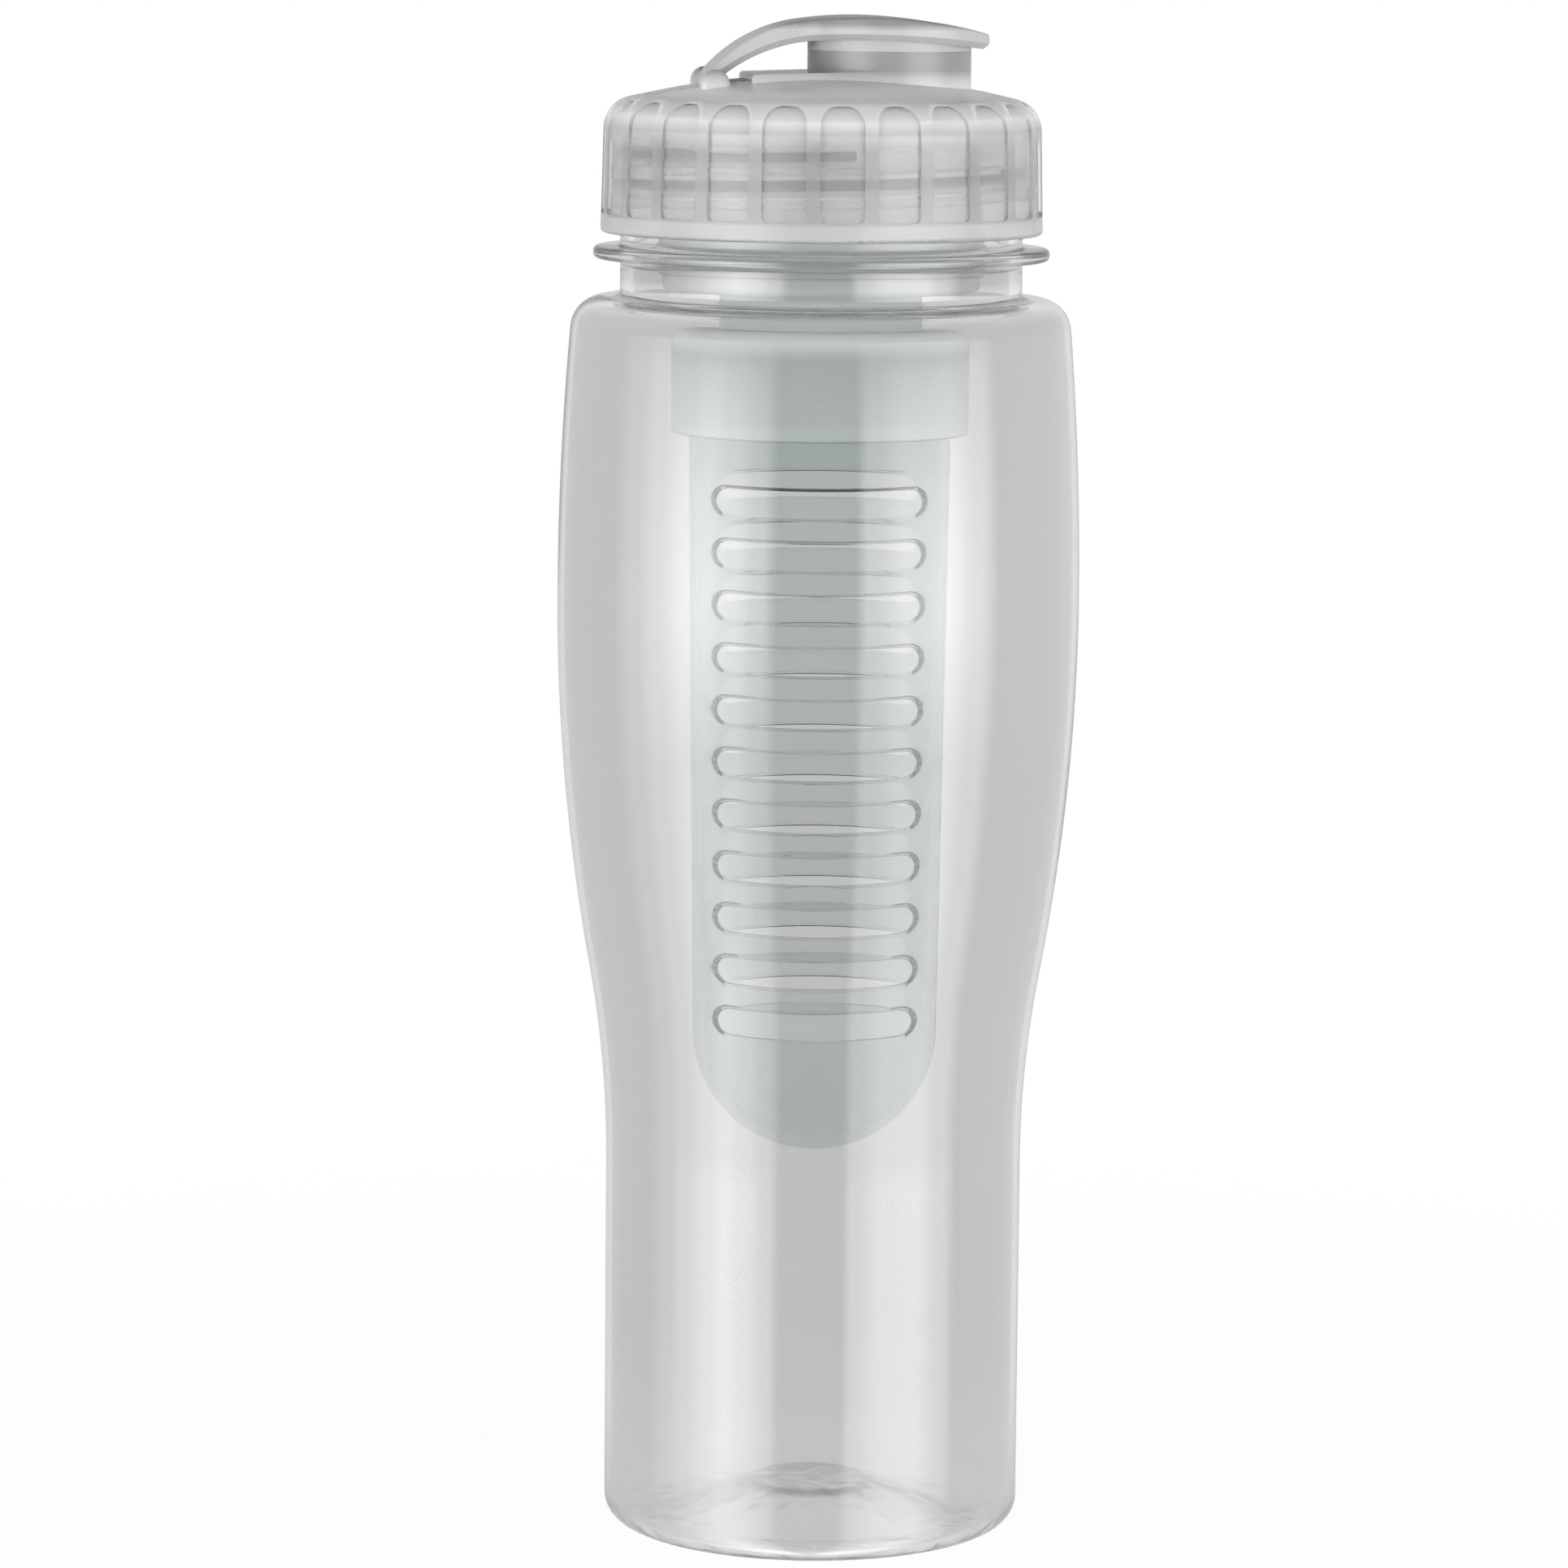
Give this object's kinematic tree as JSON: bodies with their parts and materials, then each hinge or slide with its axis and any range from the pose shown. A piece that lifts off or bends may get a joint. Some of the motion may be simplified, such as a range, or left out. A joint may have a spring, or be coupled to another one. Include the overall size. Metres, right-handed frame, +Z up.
{
  "type": "fruit infuser water bottle",
  "caption": "Clear waisted drinking bottle with a slotted fruit basket hung in its neck from a frosted collar, a ribbed screw cap and a flip lid over an offset spout.",
  "frame": {"origin": "centre of the base on the surface that the bottle stands on", "axes": "+Z up the bottle's axis, +X from the axis towards the spout, hinge axis along Y"},
  "size_m": [0.078, 0.078, 0.2272],
  "materials": {
    "clear_body": "clear blown copolyester",
    "frosted_insert": "frosted polypropylene",
    "clear_basket": "clear moulded styrene copolymer",
    "frosted_cap": "frosted polypropylene, satin",
    "soft_seal": "translucent silicone"
  },
  "bodies": {
    "bottle": {"bottle_body": "clear_body"},
    "collar": {"infuser_collar": "frosted_insert", "collar_seal": "soft_seal"},
    "gasket": {"cap_gasket": "soft_seal"},
    "cap": {"screw_cap": "frosted_cap"},
    "lid": {"flip_lid": "frosted_cap"},
    "basket": {"infuser_basket": "clear_basket"}
  },
  "joints": [
    {"name": "infuser_lift", "type": "slide", "parent": "bottle", "child": "collar", "axis": [0, 0, 1], "range_m": [0, 0.19]},
    {"name": "cap_lift", "type": "slide", "parent": "collar", "child": "gasket", "axis": [0, 0, 1], "range_m": [0, 0.00635]},
    {"name": "cap_turn", "type": "hinge", "parent": "gasket", "child": "cap", "pos_m": [0, 0, 0.2], "axis": [0, 0, 1], "range_deg": [0, 540]},
    {"name": "lid_flip", "type": "hinge", "parent": "cap", "child": "lid", "pos_m": [-0.0168, 0, 0.2173], "axis": [0, -1, 0], "range_deg": [0, 125]},
    {"name": "basket_drop", "type": "slide", "parent": "collar", "child": "basket", "axis": [0, 0, -1], "range_m": [0, 0.016]}
  ],
  "couplings": [
    {"joint": "cap_lift", "follows": "cap_turn", "m_per_rad": 0.0006732}
  ]
}
